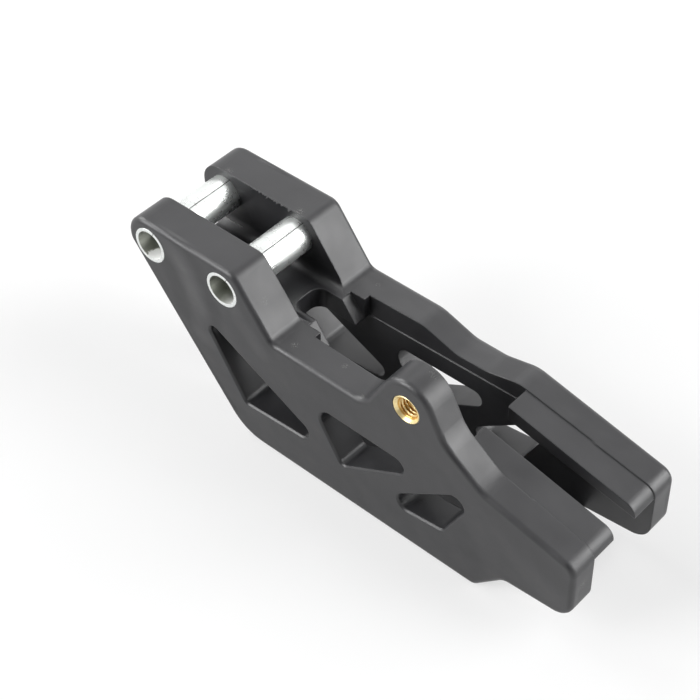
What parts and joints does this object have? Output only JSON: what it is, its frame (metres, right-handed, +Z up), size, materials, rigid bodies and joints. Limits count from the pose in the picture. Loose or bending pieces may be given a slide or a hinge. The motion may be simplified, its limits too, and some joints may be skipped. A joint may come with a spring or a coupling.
{
  "type": "motorcycle chain guide",
  "caption": "Moulded chain guide with two windowed side plates, notched bridge, tail lips, steel mounting sleeves and a brass thread insert.",
  "frame": {"origin": "on the front sleeve's axis, midway between the two side plates", "axes": "+X from the front ears towards the tail, +Y across the guide towards the plate without the insert boss, +Z up from the base"},
  "size_m": [0.148, 0.0412, 0.0575],
  "materials": {
    "moulded_plastic": "satin black moulding",
    "zinc_steel": "bright zinc plate",
    "brass": "turned brass"
  },
  "bodies": {
    "root": {"guide_body": "moulded_plastic", "front_sleeve": "zinc_steel", "rear_sleeve": "zinc_steel", "thread_insert": "brass"}
  },
  "joints": []
}
